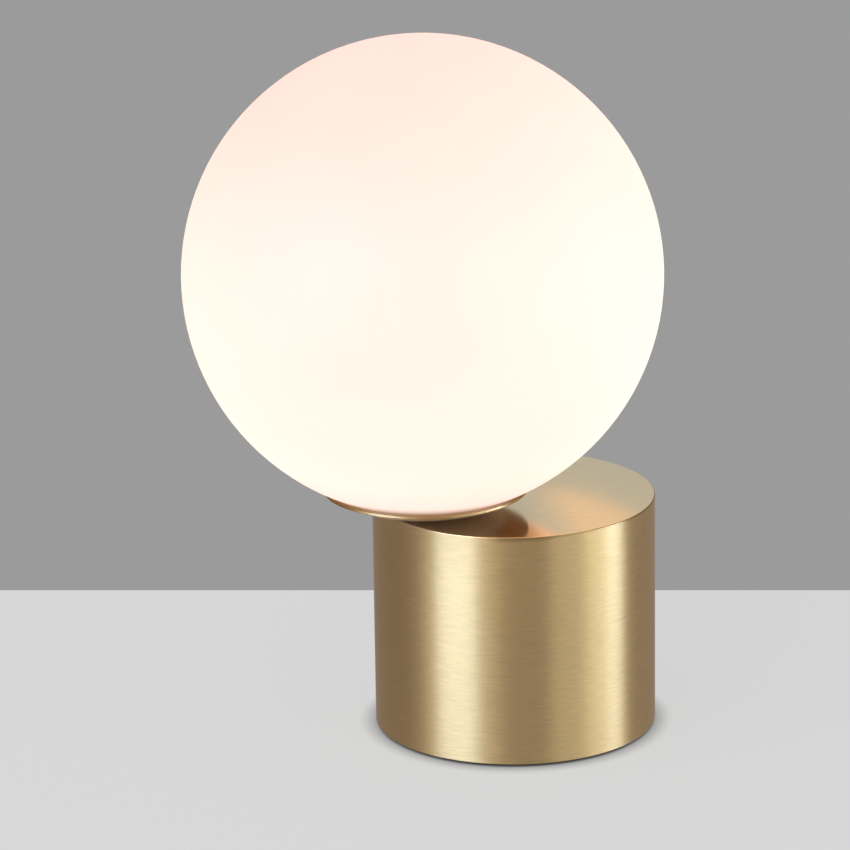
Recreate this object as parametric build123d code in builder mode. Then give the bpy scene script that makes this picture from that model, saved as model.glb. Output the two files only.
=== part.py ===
from build123d import *
import os
from math import asin, atan2, cos, hypot, radians, sin, sqrt, tan

# A bedside lamp: an opal glass globe seated in a shallow brass dish at the edge of a brushed brass drum.
# Millimetres. The drum stands on z = 0 with its axis on Z, the globe leans towards -X, the cord enters at +X.

# Globe of opal glass
GLOBE_DIAMETER = 200.0
GLASS_WALL = 3.0
MOUTH_DIAMETER = 66.0
MOUTH_ROUND = 0.8

# Brass drum
DRUM_DIAMETER = 120.0
DRUM_HEIGHT = 100.0
DRUM_WALL = 1.5
DRUM_TOP = 2.0
DRUM_EDGE = 0.5
STEM_INSET = 18.5  # from the drum's side to the globe's axis

# Foot, bottom plate, weight and the posts that hold them
FOOT_THICKNESS = 2.0
FOOT_REVEAL = 1.2  # height of the foot below the drum
FOOT_MARGIN = 1.3
ACCESS_DIAMETER = 10.0
PLATE_THICKNESS = 2.5
PLATE_CLEARANCE = 0.2
WEIGHT_HEIGHT = 26.0
WEIGHT_CLEARANCE = 1.0
WEIGHT_CHAMFER = 1.5
POST_COUNT = 4
POST_DIAMETER = 9.0
POST_MARGIN = 8.0
SCREW_DIAMETER = 4.0
SCREW_HEAD = 7.6
SCREW_HEAD_ANGLE = 90.0
SCREW_ENGAGEMENT = 10.0
SCREW_CLEARANCE = 0.2
CROSS_WIDTH = 0.9
CROSS_LENGTH = 4.2
CROSS_DEPTH = 1.3
THREAD_CLEARANCE = 0.05
TAP_RUNOUT = 2.0

# Cord inlet
CORD_BORE = 6.6
CORD_HEIGHT = 17.0
BUSH_DIAMETER = 10.0
BUSH_FLANGE = 16.0
BUSH_FLANGE_THICKNESS = 2.0
BUSH_LIP = 2.0
BUSH_ROUND = 0.8
BUSH_CLEARANCE = 0.1
BUSH_NUT_FLATS = 15.0
BUSH_NUT_HEIGHT = 3.5
CORD_SLOT_MARGIN = 2.0
CORD_SLOT_DEPTH = 26.0

# Terminal block
POLE_PITCH = 9.5
BLOCK_DEPTH = 17.0
BLOCK_HEIGHT = 10.0
BLOCK_MARGIN = 5.0
BLOCK_GAP = 3.0
TUBE_DIAMETER = 4.8
TUBE_BORE = 3.2
TUBE_HEIGHT = 5.0
TUBE_SETBACK = 1.0
CLAMP_DIAMETER = 2.6
CLAMP_SPACING = 10.0
BOSS_DIAMETER = 5.2
BOSS_HEIGHT = 3.0
CLAMP_SINK = 0.6
FIX_DIAMETER = 3.0
FIX_HEAD = 5.2
FIX_HEAD_HEIGHT = 2.0
FIX_ENGAGEMENT = 8.0

# Stem and what it clamps under and over the drum's top
STEM_DIAMETER = 10.0
STEM_BORE = 7.0
STEM_CLEARANCE = 0.2
STEM_TAIL = 3.0
STEM_LIP = 1.0
NUT_FLATS = 14.0
NUT_HEIGHT = 3.5
NUT_CHAMFER = 0.4
TOOTH_WASHER_DIAMETER = 18.0
TOOTH_WASHER_THICKNESS = 0.8
TOOTH_COUNT = 12
TOOTH_WIDTH = 1.6
TOOTH_DEPTH = 1.6
TAG_DIAMETER = 17.0
TAG_THICKNESS = 0.8
TAG_WIDTH = 4.0
TAG_REACH = 15.0
BARREL_DIAMETER = 4.0
BARREL_LENGTH = 7.0

# Dish and the parts that locate the globe in it
DISH_WALL = 1.2
DISH_RIM_DIAMETER = 86.5
DISH_FLAT_DIAMETER = 20.0
DISH_RIM_ROUND = 0.4
GASKET_THICKNESS = 0.5
GASKET_GLUE = 0.1
GASKET_WIDTH = 5.0
GASKET_SETBACK = 1.2
GLOBE_CLEARANCE = 0.3
COLLAR_MARGIN = 0.9
COLLAR_HEIGHT = 4.0
SPRING_ARMS = 3
SPRING_GAUGE = 0.6
SPRING_WIDTH = 10.0
SPRING_HUB = 20.0
SPRING_RUN = 12.0  # from where an arm starts to rise to the mouth's wall
SPRING_CLEARANCE = 0.4
SPRING_HOOK = 2.8
SPRING_TIP_RISE = 8.5
SPRING_TIP_LEAN = 3.8
SPRING_BEND = 1.2

# Lampholder and its bracket
BRACKET_GAUGE = 1.2
BRACKET_WIDTH = 12.0
BRACKET_SPAN = 28.0
BRACKET_HEIGHT = 18.0
BRACKET_BEND = 1.8
HOLDER_LENGTH = 23.0
HOLDER_WIDTH = 15.0
HOLDER_HEIGHT = 20.0
HOLDER_ROUND = 4.0
HOLDER_EDGE = 0.8
EAR_WIDTH = 11.0
EAR_THICKNESS = 4.0
EAR_SCREW_DIAMETER = 3.0
EAR_SCREW_HEAD = 5.4
EAR_SCREW_HEAD_HEIGHT = 2.0
EAR_SCREW_LIP = 1.0
EAR_NUT_FLATS = 5.5
EAR_NUT_HEIGHT = 2.4
EAR_NUT_CLEARANCE = 0.3
EAR_MARGIN = 3.2
SOCKET_DEPTH = 5.0
PIN_PITCH = 9.0
PIN_WIRE = 0.8
PIN_LOOP = 2.2
PIN_LENGTH = 12.0
PIN_PLAY = 0.5
PIN_SLOT_WIDTH = 2.6
PIN_SLOT_RUNOUT = 1.0
CONTACT_GAUGE = 0.4
CONTACT_GAP = 0.1
CONTACT_WIDTH = 3.0
CONTACT_SETBACK = 1.5
TAIL_WIDTH = 1.6
TAIL_PLAY = 0.2
CRIMP_DIAMETER = 3.0
CRIMP_LENGTH = 4.5
CRIMP_DROP = 0.8

# Lamp bulb, a two-pin capsule
CAP_LENGTH = 14.6
CAP_WIDTH = 7.8
CAP_CLEARANCE = 0.3
CAP_RISE = 2.0
BULB_SEAT = 0.1
SKIRT_DIAMETER = 17.0
SKIRT_HEIGHT = 6.0
SKIRT_ROUND = 1.0
COVER_DIAMETER = 16.0
COVER_WALL = 1.0
COVER_HEIGHT = 38.0
BOARD_WIDTH = 9.0
BOARD_THICKNESS = 1.2
BOARD_HEIGHT = 30.0
LED_ROWS = 5
LED_WIDTH = 2.8
LED_HEIGHT = 3.5
LED_THICKNESS = 0.8
LED_PITCH = 5.2
LED_COLUMN_PITCH = 4.0

# Wires
WIRE_DIAMETER = 2.0
WIRE_CLEARANCE = 0.05
WIRE_SPREAD = 2.8  # between the two wires' axes inside the stem
WIRE_INSERT = 5.0
WIRE_BEND = 0.45  # share of the shorter run that an arc takes
CRIMP_INSERT = 3.0

# Places worked out from the sizes above
ON_PLANE = (Align.CENTER, Align.CENTER, Align.MIN)
drum_radius = DRUM_DIAMETER / 2
drum_bore = drum_radius - DRUM_WALL
drum_top = FOOT_REVEAL + DRUM_HEIGHT
drum_ceiling = drum_top - DRUM_TOP
stem_x = STEM_INSET - drum_radius
stem_hole = STEM_DIAMETER / 2 + STEM_CLEARANCE

plate_bottom = FOOT_THICKNESS
plate_top = plate_bottom + PLATE_THICKNESS
plate_radius = drum_bore - PLATE_CLEARANCE
weight_top = plate_top + WEIGHT_HEIGHT
post_circle = drum_bore - POST_MARGIN - POST_DIAMETER / 2
post_angle = 180 / POST_COUNT
screw_hole = SCREW_DIAMETER / 2 + SCREW_CLEARANCE

globe_radius = GLOBE_DIAMETER / 2
glass_inner = globe_radius - GLASS_WALL
mouth_radius = MOUTH_DIAMETER / 2
dish_inner = globe_radius + GLOBE_CLEARANCE + GASKET_THICKNESS + GASKET_GLUE
dish_outer = dish_inner + DISH_WALL
flat_radius = DISH_FLAT_DIAMETER / 2
globe_z = drum_top + sqrt(dish_outer**2 - flat_radius**2)
dish_floor = drum_top + DISH_WALL
floor_radius = sqrt(dish_inner**2 - (globe_z - dish_floor) ** 2)
rim_angle = asin(DISH_RIM_DIAMETER / 2 / dish_outer)

tooth_washer_z = drum_ceiling - TOOTH_WASHER_THICKNESS
tag_z = tooth_washer_z - TAG_THICKNESS
lower_nut_z = tag_z - NUT_HEIGHT
stem_bottom = lower_nut_z - STEM_TAIL
spring_z = dish_floor + COLLAR_HEIGHT
bracket_z = spring_z + SPRING_GAUGE
upper_nut_z = bracket_z + BRACKET_GAUGE
stem_top = upper_nut_z + NUT_HEIGHT + STEM_LIP
holder_z = bracket_z + BRACKET_HEIGHT
holder_top = holder_z + HOLDER_HEIGHT
socket_floor = holder_top - SOCKET_DEPTH
slot_floor = socket_floor - PIN_LENGTH - PIN_SLOT_RUNOUT
bulb_z = socket_floor + BULB_SEAT
skirt_z = bulb_z + SOCKET_DEPTH + CAP_RISE
cover_z = skirt_z + SKIRT_HEIGHT

globe_axis = Axis((stem_x, 0, 0), (0, 0, 1))
globe_plane = Plane(origin=(stem_x, 0, globe_z), x_dir=(1, 0, 0), z_dir=(0, -1, 0))
bracket_plane = Plane(origin=(stem_x, 0, 0), x_dir=(0, 1, 0), z_dir=(1, 0, 0))
cord_plane = Plane(origin=(0, 0, CORD_HEIGHT), x_dir=(0, 1, 0), z_dir=(1, 0, 0))


def at_stem(height):
    """A level plane on the globe's axis."""
    return Plane(origin=(stem_x, 0, height))


def on_sphere(radius, angle):
    """A point of a sphere about the globe's centre, by its angle from straight down."""
    return (radius * sin(angle), -radius * cos(angle))


def save(piece, name):
    """Name a finished piece and write it."""
    piece.part.label = name
    export_step(piece.part, f"parts/{name}.step")


os.makedirs("parts", exist_ok=True)

# Drum: a brass cup standing upside down, open at the bottom
with BuildPart() as drum:
    with BuildSketch(Plane.XY.offset(FOOT_REVEAL)):
        Circle(drum_radius)
    extrude(amount=DRUM_HEIGHT)
    with BuildSketch(Plane.XY.offset(FOOT_REVEAL)):
        Circle(drum_bore)
    extrude(amount=DRUM_HEIGHT - DRUM_TOP, mode=Mode.SUBTRACT)
    fillet(drum.faces().sort_by(Axis.Z)[-1].edges(), DRUM_EDGE)
    fillet(drum.faces().sort_by(Axis.Z)[0].edges(), DRUM_EDGE / 2)
    with Locations((stem_x, 0, drum_top)):
        Hole(stem_hole, depth=2 * DRUM_TOP)
    with Locations(cord_plane.offset(drum_radius)):
        Hole(BUSH_DIAMETER / 2 + BUSH_CLEARANCE, depth=2 * DRUM_WALL)
save(drum, "drum")

# Posts brazed under the drum's top, tapped at their lower ends
with BuildPart(Plane.XY.offset(weight_top)) as posts:
    with PolarLocations(post_circle, POST_COUNT, start_angle=post_angle):
        Cylinder(POST_DIAMETER / 2, drum_ceiling - weight_top, align=ON_PLANE)
        Cylinder(
            SCREW_DIAMETER / 2 + THREAD_CLEARANCE,
            SCREW_ENGAGEMENT + TAP_RUNOUT,
            align=ON_PLANE,
            mode=Mode.SUBTRACT,
        )
save(posts, "posts")

# Weight: a cast iron disc, slotted where the cord enters
bush_nut_corner = BUSH_NUT_FLATS / sqrt(3)
cord_slot_width = 2 * (bush_nut_corner + CORD_SLOT_MARGIN)
cord_slot_start = drum_bore - CORD_SLOT_DEPTH
block_x = cord_slot_start - BLOCK_GAP - BLOCK_DEPTH / 2
fixing_points = [(block_x, side * POLE_PITCH / 2) for side in (-1, 1)]
with BuildPart() as weight:
    with BuildSketch(Plane.XY.offset(plate_top)):
        Circle(drum_bore - WEIGHT_CLEARANCE)
        with PolarLocations(post_circle, POST_COUNT, start_angle=post_angle):
            Circle(screw_hole, mode=Mode.SUBTRACT)
        with Locations((cord_slot_start, 0)):
            Rectangle(
                CORD_SLOT_DEPTH,
                cord_slot_width,
                align=(Align.MIN, Align.CENTER),
                mode=Mode.SUBTRACT,
            )
    extrude(amount=WEIGHT_HEIGHT)
    chamfer(weight.faces().sort_by(Axis.Z)[-1].outer_wire().edges(), WEIGHT_CHAMFER)
    with Locations(*[(x, y, weight_top) for x, y in fixing_points]):
        Hole(FIX_DIAMETER / 2 + THREAD_CLEARANCE, depth=FIX_ENGAGEMENT + TAP_RUNOUT)
save(weight, "weight")

# Bottom plate with countersunk holes from below
with BuildPart() as bottom_plate:
    with BuildSketch(Plane.XY.offset(plate_bottom)):
        Circle(plate_radius)
    extrude(amount=PLATE_THICKNESS)
    with Locations(Plane(origin=(0, 0, plate_bottom), z_dir=(0, 0, -1))):
        with PolarLocations(post_circle, POST_COUNT, start_angle=post_angle):
            CounterSinkHole(
                screw_hole,
                SCREW_HEAD / 2 + SCREW_CLEARANCE,
                depth=2 * PLATE_THICKNESS,
                counter_sink_angle=SCREW_HEAD_ANGLE,
            )
save(bottom_plate, "bottom_plate")

# Countersunk screws through plate and weight into the posts
head_rise = (SCREW_HEAD - SCREW_DIAMETER) / 2 / tan(radians(SCREW_HEAD_ANGLE / 2))
with BuildPart(Plane.XY.offset(plate_bottom)) as plate_screws:
    with PolarLocations(post_circle, POST_COUNT, start_angle=post_angle):
        Cylinder(SCREW_DIAMETER / 2, PLATE_THICKNESS + WEIGHT_HEIGHT + SCREW_ENGAGEMENT, align=ON_PLANE)
        Cone(SCREW_HEAD / 2, SCREW_DIAMETER / 2, head_rise, align=ON_PLANE)
        Box(CROSS_WIDTH, CROSS_LENGTH, CROSS_DEPTH, align=ON_PLANE, mode=Mode.SUBTRACT)
        Box(CROSS_LENGTH, CROSS_WIDTH, CROSS_DEPTH, align=ON_PLANE, mode=Mode.SUBTRACT)
save(plate_screws, "plate_screws")

# Rubber foot, a die-cut disc with a hole under each screw
with BuildPart() as foot:
    with BuildSketch():
        Circle(plate_radius - FOOT_MARGIN)
        with PolarLocations(post_circle, POST_COUNT, start_angle=post_angle):
            Circle(ACCESS_DIAMETER / 2, mode=Mode.SUBTRACT)
    extrude(amount=FOOT_THICKNESS)
save(foot, "rubber_foot")

# Cord bush: its flange is hollowed to lie on the drum's round side
bush_nut_face = sqrt(drum_bore**2 - bush_nut_corner**2) - BUSH_CLEARANCE
bush_start = bush_nut_face - BUSH_NUT_HEIGHT - BUSH_LIP
bush_end = drum_radius + BUSH_FLANGE_THICKNESS
with BuildPart() as cord_bush:
    with BuildSketch(cord_plane.offset(drum_bore)):
        Circle(BUSH_FLANGE / 2)
    extrude(amount=bush_end - drum_bore)
    fillet(cord_bush.faces().sort_by(Axis.X)[-1].edges(), BUSH_ROUND)
    Cylinder(drum_radius, 2 * drum_top, mode=Mode.SUBTRACT)
    with BuildSketch(cord_plane.offset(bush_start)):
        Circle(BUSH_DIAMETER / 2)
    extrude(amount=drum_radius - bush_start + BUSH_FLANGE_THICKNESS / 2)
    with BuildSketch(cord_plane.offset(bush_start)):
        Circle(CORD_BORE / 2)
    extrude(amount=bush_end - bush_start, mode=Mode.SUBTRACT)
save(cord_bush, "cord_bush")

with BuildPart() as bush_nut:
    with BuildSketch(cord_plane.offset(bush_nut_face - BUSH_NUT_HEIGHT)):
        RegularPolygon(BUSH_NUT_FLATS / 2, 6, major_radius=False)
        Circle(BUSH_DIAMETER / 2 + THREAD_CLEARANCE, mode=Mode.SUBTRACT)
    extrude(amount=BUSH_NUT_HEIGHT)
save(bush_nut, "bush_nut")

# Terminal block: three poles side by side, the lamp's wires on the stem's side
block_face = block_x - BLOCK_DEPTH / 2
block_top = weight_top + BLOCK_HEIGHT
tube_z = weight_top + TUBE_HEIGHT
boss_top = block_top + BOSS_HEIGHT
block_plane = Plane(origin=(block_x, 0, weight_top))
tube_plane = Plane(origin=(block_face, 0, tube_z), x_dir=(0, 1, 0), z_dir=(1, 0, 0))
with BuildPart(block_plane) as terminal_block:
    Box(BLOCK_DEPTH, 2 * (POLE_PITCH + BLOCK_MARGIN), BLOCK_HEIGHT, align=ON_PLANE)
    with GridLocations(CLAMP_SPACING, POLE_PITCH, 2, 3):
        Cylinder(BOSS_DIAMETER / 2, BLOCK_HEIGHT + BOSS_HEIGHT, align=ON_PLANE)
    with BuildSketch(tube_plane):
        with GridLocations(POLE_PITCH, 0, 3, 1):
            Circle(TUBE_DIAMETER / 2 + THREAD_CLEARANCE)
    extrude(amount=BLOCK_DEPTH, mode=Mode.SUBTRACT)
    with BuildSketch(Plane(origin=(block_x, 0, tube_z))):
        with GridLocations(CLAMP_SPACING, POLE_PITCH, 2, 3):
            Circle(CLAMP_DIAMETER / 2 + THREAD_CLEARANCE)
    extrude(amount=boss_top - tube_z, mode=Mode.SUBTRACT)
    with GridLocations(0, POLE_PITCH, 1, 2):
        Cylinder(FIX_DIAMETER / 2 + SCREW_CLEARANCE, BLOCK_HEIGHT, align=ON_PLANE, mode=Mode.SUBTRACT)
save(terminal_block, "terminal_block")

with BuildPart() as terminal_tubes:
    with BuildSketch(tube_plane.offset(TUBE_SETBACK)):
        with GridLocations(POLE_PITCH, 0, 3, 1):
            Circle(TUBE_DIAMETER / 2)
            Circle(TUBE_BORE / 2, mode=Mode.SUBTRACT)
    extrude(amount=BLOCK_DEPTH - 2 * TUBE_SETBACK)
    with BuildSketch(Plane(origin=(block_x, 0, tube_z))):
        with GridLocations(CLAMP_SPACING, POLE_PITCH, 2, 3):
            Circle(CLAMP_DIAMETER / 2 + THREAD_CLEARANCE)
    extrude(amount=TUBE_DIAMETER, mode=Mode.SUBTRACT)
save(terminal_tubes, "terminal_tubes")

clamp_tip = tube_z + WIRE_DIAMETER / 2 + WIRE_CLEARANCE
clamp_length = boss_top - CLAMP_SINK - clamp_tip
with BuildPart(Plane(origin=(block_x, 0, clamp_tip))) as clamp_screws:
    with GridLocations(CLAMP_SPACING, POLE_PITCH, 2, 3):
        Cylinder(CLAMP_DIAMETER / 2, clamp_length, align=ON_PLANE)
    with BuildSketch(Plane(origin=(block_x, 0, clamp_tip + clamp_length))):
        with GridLocations(CLAMP_SPACING, POLE_PITCH, 2, 3):
            Rectangle(CLAMP_DIAMETER, CLAMP_SINK)
    extrude(amount=-CLAMP_SINK, mode=Mode.SUBTRACT)
save(clamp_screws, "clamp_screws")

with BuildPart(Plane(origin=(block_x, 0, block_top))) as block_screws:
    with GridLocations(0, POLE_PITCH, 1, 2):
        Cylinder(FIX_HEAD / 2, FIX_HEAD_HEIGHT, align=ON_PLANE)
        Cylinder(
            FIX_DIAMETER / 2,
            BLOCK_HEIGHT + FIX_ENGAGEMENT,
            align=(Align.CENTER, Align.CENTER, Align.MAX),
        )
    with BuildSketch(Plane(origin=(block_x, 0, block_top + FIX_HEAD_HEIGHT))):
        with GridLocations(0, POLE_PITCH, 1, 2):
            Rectangle(FIX_HEAD, CROSS_WIDTH)
    extrude(amount=-FIX_HEAD_HEIGHT / 2, mode=Mode.SUBTRACT)
save(block_screws, "block_screws")

# Stem: a hollow threaded nipple that clamps dish, spring and bracket to the drum's top
with BuildPart() as stem:
    with BuildSketch(at_stem(stem_bottom)):
        Circle(STEM_DIAMETER / 2)
        Circle(STEM_BORE / 2, mode=Mode.SUBTRACT)
    extrude(amount=stem_top - stem_bottom)
save(stem, "stem")

with BuildPart() as tooth_washer:
    with BuildSketch(at_stem(tooth_washer_z)):
        Circle(TOOTH_WASHER_DIAMETER / 2)
        Circle(stem_hole, mode=Mode.SUBTRACT)
        with PolarLocations(TOOTH_WASHER_DIAMETER / 2 - TOOTH_DEPTH / 2, TOOTH_COUNT):
            Rectangle(TOOTH_DEPTH, TOOTH_WIDTH, mode=Mode.SUBTRACT)
    extrude(amount=TOOTH_WASHER_THICKNESS)
save(tooth_washer, "tooth_washer")

barrel_x = stem_x + TAG_REACH
barrel_z = tag_z + TAG_THICKNESS - BARREL_DIAMETER / 2
barrel_plane = Plane(origin=(barrel_x, 0, barrel_z), x_dir=(0, 1, 0), z_dir=(1, 0, 0))
with BuildPart() as earth_tag:
    with BuildSketch(at_stem(tag_z)):
        Circle(TAG_DIAMETER / 2)
        Rectangle(TAG_REACH + BARREL_LENGTH / 2, TAG_WIDTH, align=(Align.MIN, Align.CENTER))
        Circle(stem_hole, mode=Mode.SUBTRACT)
    extrude(amount=TAG_THICKNESS)
    with BuildSketch(barrel_plane):
        Circle(BARREL_DIAMETER / 2)
    extrude(amount=BARREL_LENGTH)
    with BuildSketch(barrel_plane):
        Circle(WIRE_DIAMETER / 2 + WIRE_CLEARANCE)
    extrude(amount=BARREL_LENGTH, mode=Mode.SUBTRACT)
save(earth_tag, "earth_tag")

for nut_name, nut_z in (("lower_nut", lower_nut_z), ("upper_nut", upper_nut_z)):
    with BuildPart() as stem_nut:
        with BuildSketch(at_stem(nut_z)):
            RegularPolygon(NUT_FLATS / 2, 6, major_radius=False)
            Circle(STEM_DIAMETER / 2 + THREAD_CLEARANCE, mode=Mode.SUBTRACT)
        extrude(amount=NUT_HEIGHT)
        for face in (stem_nut.faces().sort_by(Axis.Z)[0], stem_nut.faces().sort_by(Axis.Z)[-1]):
            chamfer(face.outer_wire().edges(), NUT_CHAMFER)
    save(stem_nut, nut_name)

# Dish: spun brass, concentric with the globe, with a small flat on the drum's top
flat_angle = asin(flat_radius / dish_outer)
floor_angle = asin(floor_radius / dish_inner)
with BuildPart() as dish:
    with BuildSketch(globe_plane):
        with BuildLine():
            Line((stem_hole, drum_top - globe_z), on_sphere(dish_outer, flat_angle))
            ThreePointArc(
                on_sphere(dish_outer, flat_angle),
                on_sphere(dish_outer, (flat_angle + rim_angle) / 2),
                on_sphere(dish_outer, rim_angle),
            )
            Line(on_sphere(dish_outer, rim_angle), on_sphere(dish_inner, rim_angle))
            ThreePointArc(
                on_sphere(dish_inner, rim_angle),
                on_sphere(dish_inner, (floor_angle + rim_angle) / 2),
                on_sphere(dish_inner, floor_angle),
            )
            Line(on_sphere(dish_inner, floor_angle), (stem_hole, dish_floor - globe_z))
            Line((stem_hole, dish_floor - globe_z), (stem_hole, drum_top - globe_z))
        make_face()
    revolve(axis=globe_axis)
    dish_rings = dish.edges().filter_by(GeomType.CIRCLE).filter_by(lambda edge: edge.is_closed)
    fillet(dish_rings.sort_by(Axis.Z)[-2:], DISH_RIM_ROUND)
save(dish, "dish")

# Silicone gasket: a band lining the dish just below its rim
gasket_top = rim_angle - GASKET_SETBACK / dish_inner
gasket_bottom = gasket_top - GASKET_WIDTH / dish_inner
gasket_back = dish_inner - GASKET_GLUE
gasket_face = gasket_back - GASKET_THICKNESS
with BuildPart() as gasket:
    with BuildSketch(globe_plane):
        with BuildLine():
            Line(on_sphere(gasket_face, gasket_bottom), on_sphere(gasket_back, gasket_bottom))
            ThreePointArc(
                on_sphere(gasket_back, gasket_bottom),
                on_sphere(gasket_back, (gasket_bottom + gasket_top) / 2),
                on_sphere(gasket_back, gasket_top),
            )
            Line(on_sphere(gasket_back, gasket_top), on_sphere(gasket_face, gasket_top))
            ThreePointArc(
                on_sphere(gasket_face, gasket_top),
                on_sphere(gasket_face, (gasket_bottom + gasket_top) / 2),
                on_sphere(gasket_face, gasket_bottom),
            )
        make_face()
    revolve(axis=globe_axis)
save(gasket, "gasket")

with BuildPart() as collar:
    with BuildSketch(at_stem(dish_floor)):
        Circle(floor_radius - COLLAR_MARGIN)
        Circle(stem_hole, mode=Mode.SUBTRACT)
    extrude(amount=COLLAR_HEIGHT)
save(collar, "collar")

# Globe spring: a hub with three arms that hook over the edge of the glass mouth
lip_z = globe_z - sqrt(glass_inner**2 - mouth_radius**2)
arm_z = spring_z + SPRING_GAUGE / 2
arm_start = mouth_radius - SPRING_RUN
lip_distance = hypot(SPRING_RUN, lip_z - arm_z)
lip_offset = asin((SPRING_CLEARANCE + SPRING_GAUGE / 2) / lip_distance)
arm_slope = atan2(lip_z - arm_z, SPRING_RUN) + lip_offset
arm_length = lip_distance * cos(lip_offset) + SPRING_HOOK
crest = (arm_start + arm_length * cos(arm_slope), arm_z + arm_length * sin(arm_slope))
tip = (crest[0] - SPRING_TIP_LEAN, crest[1] + SPRING_TIP_RISE)
with BuildPart() as globe_spring:
    with BuildSketch(at_stem(spring_z)):
        Circle(SPRING_HUB / 2)
    extrude(amount=SPRING_GAUGE)
    for arm in range(SPRING_ARMS):
        heading = radians(360 / SPRING_ARMS * arm)
        outward = (cos(heading), sin(heading), 0)
        sideways = (sin(heading), -cos(heading), 0)
        with BuildSketch(Plane(origin=(stem_x, 0, 0), x_dir=outward, z_dir=sideways)):
            with BuildLine():
                FilletPolyline((stem_hole, arm_z), (arm_start, arm_z), crest, tip, radius=SPRING_BEND)
            trace(line_width=SPRING_GAUGE)
        extrude(amount=SPRING_WIDTH / 2, both=True)
    with BuildSketch(at_stem(spring_z)):
        Circle(stem_hole)
    extrude(amount=SPRING_GAUGE, mode=Mode.SUBTRACT)
save(globe_spring, "globe_spring")

# Bracket: a hat-shaped strap that stands the lampholder above the stem
leg_y = (BRACKET_SPAN - BRACKET_GAUGE) / 2
strap_low = bracket_z + BRACKET_GAUGE / 2
strap_high = holder_z - BRACKET_GAUGE / 2
bend_inside = BRACKET_BEND - BRACKET_GAUGE / 2
ear_screw_y = BRACKET_SPAN / 2 + bend_inside + EAR_NUT_CLEARANCE + EAR_NUT_FLATS / 2
flange_end = ear_screw_y + EAR_MARGIN
with BuildPart() as bracket:
    with BuildSketch(bracket_plane):
        with BuildLine():
            FilletPolyline(
                (-flange_end, strap_high),
                (-leg_y, strap_high),
                (-leg_y, strap_low),
                (leg_y, strap_low),
                (leg_y, strap_high),
                (flange_end, strap_high),
                radius=BRACKET_BEND,
            )
        trace(line_width=BRACKET_GAUGE)
    extrude(amount=BRACKET_WIDTH / 2, both=True)
    with BuildSketch(at_stem(bracket_z)):
        Circle(stem_hole)
    extrude(amount=BRACKET_GAUGE, mode=Mode.SUBTRACT)
    with BuildSketch(at_stem(holder_z)):
        with GridLocations(0, 2 * ear_screw_y, 1, 2):
            Circle(EAR_SCREW_DIAMETER / 2 + SCREW_CLEARANCE)
    extrude(amount=-BRACKET_GAUGE, mode=Mode.SUBTRACT)
save(bracket, "bracket")

# Lampholder: ceramic, with a socket for the bulb's cap and a slot for each pin
pin_slot_length = PIN_LOOP + PIN_WIRE + 2 * PIN_PLAY
with BuildPart() as lampholder:
    with BuildSketch(at_stem(holder_z)):
        RectangleRounded(HOLDER_WIDTH, HOLDER_LENGTH, HOLDER_ROUND)
    extrude(amount=HOLDER_HEIGHT)
    fillet(lampholder.faces().sort_by(Axis.Z)[-1].edges(), HOLDER_EDGE)
    with BuildSketch(at_stem(holder_z)):
        RectangleRounded(EAR_WIDTH, 2 * flange_end, HOLDER_ROUND)
    extrude(amount=EAR_THICKNESS)
    with BuildSketch(at_stem(holder_top)):
        SlotOverall(CAP_LENGTH + 2 * CAP_CLEARANCE, CAP_WIDTH + 2 * CAP_CLEARANCE, rotation=90)
    extrude(amount=-SOCKET_DEPTH, mode=Mode.SUBTRACT)
    with BuildSketch(at_stem(socket_floor)):
        with GridLocations(0, PIN_PITCH, 1, 2):
            Rectangle(PIN_SLOT_WIDTH, pin_slot_length)
    extrude(amount=slot_floor - socket_floor, mode=Mode.SUBTRACT)
    with BuildSketch(at_stem(slot_floor)):
        with GridLocations(0, PIN_PITCH, 1, 2):
            Rectangle(CONTACT_GAUGE + 2 * TAIL_PLAY, TAIL_WIDTH + 2 * TAIL_PLAY)
    extrude(amount=holder_z - slot_floor, mode=Mode.SUBTRACT)
    with BuildSketch(at_stem(holder_z)):
        with GridLocations(0, 2 * ear_screw_y, 1, 2):
            Circle(EAR_SCREW_DIAMETER / 2 + SCREW_CLEARANCE)
    extrude(amount=EAR_THICKNESS, mode=Mode.SUBTRACT)
save(lampholder, "lampholder")

# Contacts: a pair of leaves in each pin slot, with a tail crimped to its wire below the ceramic
leaf_x = PIN_WIRE / 2 + CONTACT_GAP + CONTACT_GAUGE / 2
leaf_height = socket_floor - CONTACT_SETBACK - slot_floor
crimp_top = holder_z - CRIMP_DROP
crimp_bottom = crimp_top - CRIMP_LENGTH
with BuildPart() as contacts:
    with BuildSketch(at_stem(slot_floor)):
        with GridLocations(2 * leaf_x, PIN_PITCH, 2, 2):
            Rectangle(CONTACT_GAUGE, CONTACT_WIDTH)
    extrude(amount=leaf_height)
    with BuildSketch(at_stem(slot_floor)):
        with GridLocations(0, PIN_PITCH, 1, 2):
            Rectangle(2 * leaf_x + CONTACT_GAUGE, CONTACT_WIDTH)
    extrude(amount=CONTACT_GAUGE)
    with BuildSketch(at_stem(slot_floor)):
        with GridLocations(0, PIN_PITCH, 1, 2):
            Rectangle(CONTACT_GAUGE, TAIL_WIDTH)
    extrude(amount=crimp_top - CRIMP_DROP - slot_floor)
    with BuildSketch(at_stem(crimp_bottom)):
        with GridLocations(0, PIN_PITCH, 1, 2):
            Circle(CRIMP_DIAMETER / 2)
    extrude(amount=CRIMP_LENGTH)
    with BuildSketch(at_stem(crimp_bottom)):
        with GridLocations(0, PIN_PITCH, 1, 2):
            Circle(WIRE_DIAMETER / 2 + WIRE_CLEARANCE)
    extrude(amount=CRIMP_INSERT, mode=Mode.SUBTRACT)
save(contacts, "contacts")

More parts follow.
